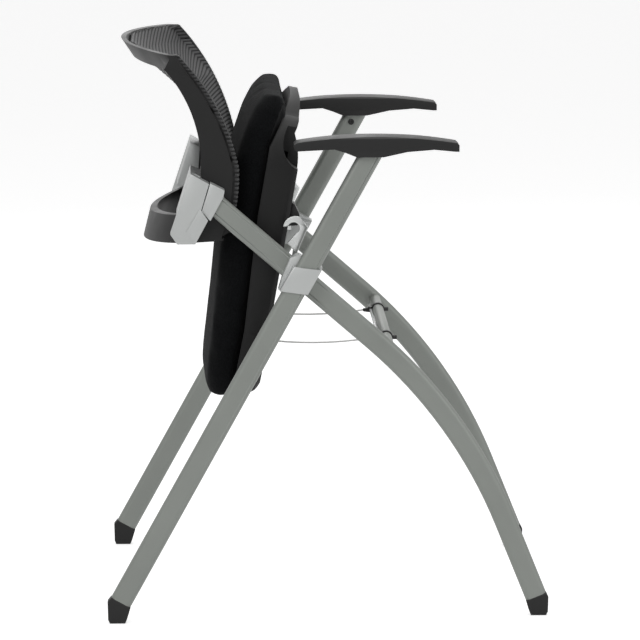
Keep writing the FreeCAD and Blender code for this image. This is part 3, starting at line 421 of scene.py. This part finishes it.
def ribMaterial():
    material = bpy.data.materials.new("ribbedMesh")
    material.use_nodes = True
    tree = material.node_tree
    link = tree.links.new
    shader = tree.nodes["Principled BSDF"]
    shader.inputs["Sheen Weight"].default_value = knit["sheen"]
    shader.inputs["Sheen Roughness"].default_value = knit["sheenRoughness"]
    place = node(tree, "ShaderNodeUVMap", uv_map="ribs")
    parts = node(tree, "ShaderNodeSeparateXYZ")
    wave = node(tree, "ShaderNodeMath", operation="FRACT")
    fromTop = node(tree, "ShaderNodeMath", operation="SUBTRACT")
    fromTop.inputs[1].default_value = 0.5
    away = node(tree, "ShaderNodeMath", operation="ABSOLUTE")
    # painted shade: past the UV span, the strips' outer sides are darkened towards the gap colour
    past = node(tree, "ShaderNodeMath", operation="ABSOLUTE")
    beyond = node(tree, "ShaderNodeMath", operation="SUBTRACT")
    beyond.inputs[1].default_value = backMesh["span"]
    rim = node(tree, "ShaderNodeMapRange", in_From_Min=knit["rimStart"], in_From_Max=knit["rimEnd"],
               in_To_Min=0.0, in_To_Max=knit["rimPaintedShade"])
    paintedShade = node(tree, "ShaderNodeMath", operation="MAXIMUM")
    # painted shade in the rib valleys, away from each rib's crest
    gap = node(tree, "ShaderNodeMapRange", in_From_Min=knit["gapStart"], in_From_Max=knit["gapEnd"],
               in_To_Min=0.0, in_To_Max=1.0)
    stitch = node(tree, "ShaderNodeTexNoise", in_Scale=1.0, in_Detail=2.0)
    stretch = node(tree, "ShaderNodeVectorMath", operation="MULTIPLY")
    stretch.inputs[1].default_value = knit["stitchStretch"]
    thread = node(tree, "ShaderNodeMapRange", in_From_Min=0.3, in_From_Max=0.7, in_To_Min=0.7, in_To_Max=1.35)
    yarn = node(tree, "ShaderNodeVectorMath", operation="SCALE")
    yarn.inputs[0].default_value = knit["yarn"]
    blend = node(tree, "ShaderNodeMix", data_type="RGBA")
    blend.inputs["B"].default_value = knit["gap"]
    rough = node(tree, "ShaderNodeMapRange", in_To_Min=knit["roughLow"], in_To_Max=knit["roughHigh"])
    bump = node(tree, "ShaderNodeBump", in_Strength=0.5, in_Distance=0.0004)
    link(place.outputs["UV"], parts.inputs["Vector"])
    link(parts.outputs["Y"], wave.inputs[0])
    link(wave.outputs["Value"], fromTop.inputs[0])
    link(fromTop.outputs["Value"], away.inputs[0])
    link(away.outputs["Value"], gap.inputs["Value"])
    link(place.outputs["UV"], stretch.inputs[0])
    link(stretch.outputs["Vector"], stitch.inputs["Vector"])
    link(stitch.outputs["Fac"], thread.inputs["Value"])
    link(thread.outputs["Result"], yarn.inputs["Scale"])
    link(parts.outputs["X"], past.inputs[0])
    link(past.outputs["Value"], beyond.inputs[0])
    link(beyond.outputs["Value"], rim.inputs["Value"])
    link(rim.outputs["Result"], paintedShade.inputs[1])
    link(gap.outputs["Result"], paintedShade.inputs[0])
    link(paintedShade.outputs["Value"], blend.inputs["Factor"])
    link(yarn.outputs["Vector"], blend.inputs["A"])
    link(gap.outputs["Result"], rough.inputs["Value"])
    link(stitch.outputs["Fac"], bump.inputs["Height"])
    link(blend.outputs["Result"], shader.inputs["Base Color"])
    link(rough.outputs["Result"], shader.inputs["Roughness"])
    link(bump.outputs["Normal"], shader.inputs["Normal"])
    return material


def surfaceOf(nodeName):
    mesh = cadNodes[nodeName].data
    return BVHTree.FromPolygons([v.co for v in mesh.vertices], [tuple(p.vertices) for p in mesh.polygons])


backSurfaces = {name: surfaceOf(name) for name in ("back_mesh", "mesh_edging_right", "mesh_edging_left")}


def frontOf(y, z):
    # first surface met from the front at a place across and up the back
    best = None
    for surface in backSurfaces.values():
        spot = surface.ray_cast(Vector((0.1, y, z)), Vector((-1, 0, 0)))[0]
        if spot is not None and (best is None or spot.x > best):
            best = spot.x
    return best


def sideProfile():
    # height, outer half width, front x, sag and slope of the mesh's side, from the bottom up
    low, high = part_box("mesh_edging_right")
    count = backMesh["samples"]
    rows = []
    for i in range(count + 1):
        z = low.z + backMesh["footTrim"] + (high.z - low.z - backMesh["ends"]) * i / count
        spot, half = None, -low.y
        while spot is None and half > -high.y:
            half -= backMesh["feel"]
            spot = backSurfaces["mesh_edging_right"].ray_cast(Vector((0.1, -half, z)), Vector((-1, 0, 0)))[0]
        near, far = backMesh["rimProbes"]
        x = frontOf(-(half - near), z) or frontOf(-(half - far), z)
        middle = frontOf(0.0, z)
        rows.append([z, half, x, x - (middle if middle is not None else x), 0.0])
    for i, row in enumerate(rows):
        below, above = rows[max(0, i - backMesh["spread"])], rows[min(count, i + backMesh["spread"])]
        row[4] = -(above[2] - below[2]) / (above[0] - below[0])
    return rows


def makeBackMesh():
    profile = sideProfile()
    lowZ, topZ = profile[0][0], profile[-1][0]
    meshLow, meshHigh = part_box("back_mesh")

    def between(z, column):
        spot = (z - lowZ) / (topZ - lowZ) * (len(profile) - 1)
        i = max(0, min(len(profile) - 2, int(spot)))
        share = max(0.0, min(1.0, spot - i))
        return profile[i][column] * (1 - share) + profile[i + 1][column] * share

    lengths = [0.0]
    for before, after in zip(profile, profile[1:]):
        lengths.append(lengths[-1] + math.hypot(after[0] - before[0], after[2] - before[2]))
    slopeTop, sagTop = profile[-1][4], profile[-2][3]
    beyondTop = slopeTop * sagTop * math.hypot(1.0, slopeTop)
    total = lengths[-1] + beyondTop
    ribs = int(total / backMesh["pitch"]) + 1
    rows = ribs * backMesh["stepsPerRib"]

    def sideHeight(length):
        if length >= lengths[-1]:
            return topZ + (length - lengths[-1]) / math.hypot(1.0, slopeTop)
        for i, reach in enumerate(lengths[1:]):
            if length <= reach:
                share = (length - lengths[i]) / (reach - lengths[i])
                return profile[i][0] * (1 - share) + profile[i + 1][0] * share
        return topZ

    # each column: side or share of the open mesh, reach in from a strip's outer side, depth down that side
    rimSpots = backMesh["rimSpots"]
    flat = [(-1.0 + 2.0 * i / backMesh["columns"], None, 0.0) for i in range(backMesh["columns"] + 1)]
    onRim = [(1.0, reach, 0.0) for reach in rimSpots]
    onRim += [(1.0, rimSpots[-1], deep) for deep in backMesh["wraps"]]
    columns = [(-1.0, reach, deep) for share, reach, deep in reversed(onRim)] + flat + onRim
    bpy.ops.object.select_all(action="DESELECT")
    bpy.ops.mesh.primitive_grid_add(x_subdivisions=len(columns) - 1, y_subdivisions=rows, size=1)
    piece = bpy.context.active_object
    piece.name = "backMeshRibs"
    layer = piece.data.uv_layers.new(name="ribs")
    spots = [(round((v.co.x + 0.5) * (len(columns) - 1)), round((v.co.y + 0.5) * rows))
             for v in piece.data.vertices]
    for polygon in piece.data.polygons:
        for loopIndex in polygon.loop_indices:
            column, row = spots[piece.data.loops[loopIndex].vertex_index]
            side, reach, deep = columns[column]
            stretch = backMesh["rimStretch"]
            rimShare = 1.0 if reach is None else stretch - (stretch - 1.0) * reach / backMesh["rim"]
            turned = side * backMesh["span"] / stretch * rimShare * (1.0 + deep * backMesh["wrapStretch"])
            layer.data[loopIndex].uv = (turned, row / backMesh["stepsPerRib"])

    nearly, further = backMesh["insetProbes"]
    for vertex, (column, row) in zip(piece.data.vertices, spots):
        side, reach, deep = columns[column]
        across = side * (backMesh["openShare"] if reach is None else 1.0 - backMesh["rimFall"] * reach)
        bulge = 1.0 - across * across
        sideZ = sideHeight(total * row / rows)
        capped = min(sideZ, topZ)
        dip = between(capped, 4) * between(capped, 3) * bulge
        topHere = topZ + (meshHigh.z - backMesh["topTrim"] - topZ) * bulge
        footHere = lowZ + (meshLow.z + backMesh["footLift"] - lowZ) * min(1.0, bulge * backMesh["footBlend"])
        z = max(footHere, min(topHere, sideZ - max(0.0, dip)))
        y = side * (between(z, 1) - (backMesh["rim"] if reach is None else reach))
        x = frontOf(y * nearly, z)
        if x is None:
            x = frontOf(y * further, z) or between(z, 2)
        wave = 0.5 + 0.5 * math.cos(2.0 * math.pi * (row / backMesh["stepsPerRib"] - 0.5))
        out = backMesh["proud"] + backMesh["ribHeight"] * (wave - 0.5)
        if deep > 0.0:
            lift = backMesh["sideLift"] + max(0.0, out) * backMesh["sideShare"]
            vertex.co = Vector((x - deep, y + math.copysign(lift, across), z))
        else:
            share = (z - backMesh["tautLow"]) / (backMesh["tautHigh"] - backMesh["tautLow"])
            taut = math.sin(math.pi * max(0.0, min(1.0, share))) ** 2 * bulge
            vertex.co = Vector((x + out + backMesh["taut"] * taut, y, z))
    piece.data.update()
    pick(piece)
    bpy.ops.object.mode_set(mode="EDIT")
    bpy.ops.mesh.select_all(action="SELECT")
    bpy.ops.mesh.remove_doubles(threshold=backMesh["mergeWithin"])
    bpy.ops.mesh.dissolve_degenerate(threshold=backMesh["mergeWithin"])
    bpy.ops.object.mode_set(mode="OBJECT")
    facing = sum(polygon.normal.x * polygon.area for polygon in piece.data.polygons)
    applyNow(piece, "SOLIDIFY", thickness=backMesh["thick"], offset=-1.0 if facing > 0 else 1.0)
    smoothBy(piece, backMesh["smoothAngle"])
    seat(piece, "back_mesh", ribMaterial())
    return piece


makeBackMesh()
print("back mesh knitted")


# seat cushion: foam swelling in a knitted cover

cushion = {"voxel": 0.005, "inset": 0.003, "pressure": 4.0, "cap": 0.006, "frames": 20, "ease": 0.5,
           "easeBefore": 6, "easeAfter": 3, "quality": 6, "mass": 0.3, "stretch": 25.0, "shear": 10.0,
           "bend": 2.0}


def makeCushion():
    piece = copyOfNode("seat_cushion", "seatCushionCover")
    applyNow(piece, "REMESH", mode="VOXEL", voxel_size=cushion["voxel"])
    applyNow(piece, "SMOOTH", factor=cushion["ease"], iterations=cushion["easeBefore"])
    for vertex in piece.data.vertices:
        vertex.co -= vertex.normal * cushion["inset"]
    start = [vertex.co.copy() for vertex in piece.data.vertices]
    modifier = addModifier(piece, "CLOTH")
    settings = modifier.settings
    settings.quality = cushion["quality"]
    settings.mass = cushion["mass"]
    settings.tension_stiffness = cushion["stretch"]
    settings.compression_stiffness = cushion["stretch"]
    settings.shear_stiffness = cushion["shear"]
    settings.bending_stiffness = cushion["bend"]
    settings.use_pressure = True
    settings.uniform_pressure_force = cushion["pressure"]
    settings.effector_weights.gravity = 0.0
    modifier.collision_settings.use_collision = False
    modifier.point_cache.frame_start = 1
    modifier.point_cache.frame_end = cushion["frames"]
    for step in range(1, cushion["frames"] + 1):
        scene.frame_set(step)
    pick(piece)
    bpy.ops.object.modifier_apply(modifier=modifier.name)
    scene.frame_set(1)
    for vertex, home in zip(piece.data.vertices, start):
        move = vertex.co - home
        if move.length > cushion["cap"]:
            vertex.co = home + move * (cushion["cap"] / move.length)
    applyNow(piece, "SMOOTH", factor=cushion["ease"], iterations=cushion["easeAfter"])
    applyNow(piece, "SUBSURF", levels=1, render_levels=1)
    pick(piece)
    bpy.ops.object.shade_smooth()
    seat(piece, "seat_cushion", finishes["seat_fabric"])
    return piece


makeCushion()
print("seat cushion made")


# studio

def lookAt(obj, target):
    obj.rotation_euler = (Vector(target) - obj.location).to_track_quat("-Z", "Y").to_euler()


studio = {"ambient": 0.32, "floorGlow": 0.62, "floorSize": 40.0, "floorDrop": -0.0004, "lit": (0, 0, 0.42)}
lamps = {
    "keyLamp": {"place": (-1.6, -3.0, 2.6), "size": 2.2, "power": 40.0},
    "sideLamp": {"place": (2.8, -2.2, 1.7), "size": 1.8, "power": 20.0},
    "overheadLamp": {"place": (0.2, 0.3, 3.2), "size": 2.4, "power": 31.0},
    "backLamp": {"place": (-0.6, 2.8, 2.0), "size": 1.8, "power": 12.0},
}


def makeStudio():
    world = bpy.data.worlds.new("studioWorld")
    scene.world = world
    world.use_nodes = True
    tree = world.node_tree
    link = tree.links.new
    ray = node(tree, "ShaderNodeLightPath")
    seen = node(tree, "ShaderNodeMath", operation="MAXIMUM")
    either = node(tree, "ShaderNodeMath", operation="MAXIMUM")
    level = node(tree, "ShaderNodeMapRange", in_To_Min=studio["ambient"], in_To_Max=1.0)
    back = tree.nodes["Background"]
    back.inputs["Color"].default_value = (1, 1, 1, 1)
    link(ray.outputs["Is Camera Ray"], seen.inputs[0])
    link(ray.outputs["Is Glossy Ray"], seen.inputs[1])
    link(seen.outputs["Value"], either.inputs[0])
    link(ray.outputs["Is Transmission Ray"], either.inputs[1])
    link(either.outputs["Value"], level.inputs["Value"])
    link(level.outputs["Result"], back.inputs["Strength"])

    bpy.ops.object.select_all(action="DESELECT")
    bpy.ops.mesh.primitive_plane_add(size=studio["floorSize"], location=(0, 0, studio["floorDrop"]))
    floor = bpy.context.active_object
    floor.name = "studioFloor"
    material = bpy.data.materials.new("paleFloor")
    material.use_nodes = True
    tree = material.node_tree
    link = tree.links.new
    shader = tree.nodes["Principled BSDF"]
    shader.inputs["Base Color"].default_value = (0.82, 0.82, 0.82, 1)
    shader.inputs["Roughness"].default_value = 0.9
    shader.inputs["Emission Color"].default_value = (1, 1, 1, 1)
    ray = node(tree, "ShaderNodeLightPath")
    seen = node(tree, "ShaderNodeMath", operation="MAXIMUM")
    either = node(tree, "ShaderNodeMath", operation="MAXIMUM")
    glow = node(tree, "ShaderNodeMath", operation="MULTIPLY")
    glow.inputs[1].default_value = studio["floorGlow"]
    link(ray.outputs["Is Camera Ray"], seen.inputs[0])
    link(ray.outputs["Is Glossy Ray"], seen.inputs[1])
    link(seen.outputs["Value"], either.inputs[0])
    link(ray.outputs["Is Transmission Ray"], either.inputs[1])
    link(either.outputs["Value"], glow.inputs[0])
    link(glow.outputs["Value"], shader.inputs["Emission Strength"])
    floor.data.materials.append(material)

    for name, values in lamps.items():
        data = bpy.data.lights.new(name, "AREA")
        data.shape = "SQUARE"
        data.size = values["size"]
        data.energy = values["power"]
        lamp = bpy.data.objects.new(name, data)
        lamp.location = values["place"]
        scene.collection.objects.link(lamp)
        lookAt(lamp, studio["lit"])


camera = {"azimuth": -1.84, "elevation": 9.12, "distance": 5.693, "target": (-0.006, 0.0, 0.4), "lens": 226.2,
          "shiftX": 0.0016, "shiftY": -0.0256, "sensor": 36.0, "near": 0.1, "far": 100.0}


def makeCamera():
    data = bpy.data.cameras.new("photoCamera")
    data.sensor_width = camera["sensor"]
    data.lens = camera["lens"]
    data.shift_x = camera["shiftX"]
    data.shift_y = camera["shiftY"]
    data.clip_start = camera["near"]
    data.clip_end = camera["far"]
    made = bpy.data.objects.new("photoCamera", data)
    turn = math.radians(camera["azimuth"])
    rise = math.radians(camera["elevation"])
    back = Vector((math.sin(turn) * math.cos(rise), -math.cos(turn) * math.cos(rise), math.sin(rise)))
    made.location = Vector(camera["target"]) + back * camera["distance"]
    made.rotation_euler = (-back).to_track_quat("-Z", "Y").to_euler()
    scene.collection.objects.link(made)
    scene.camera = made


makeStudio()
makeCamera()
scene.view_settings.view_transform = "Standard"
print("studio and camera ready")
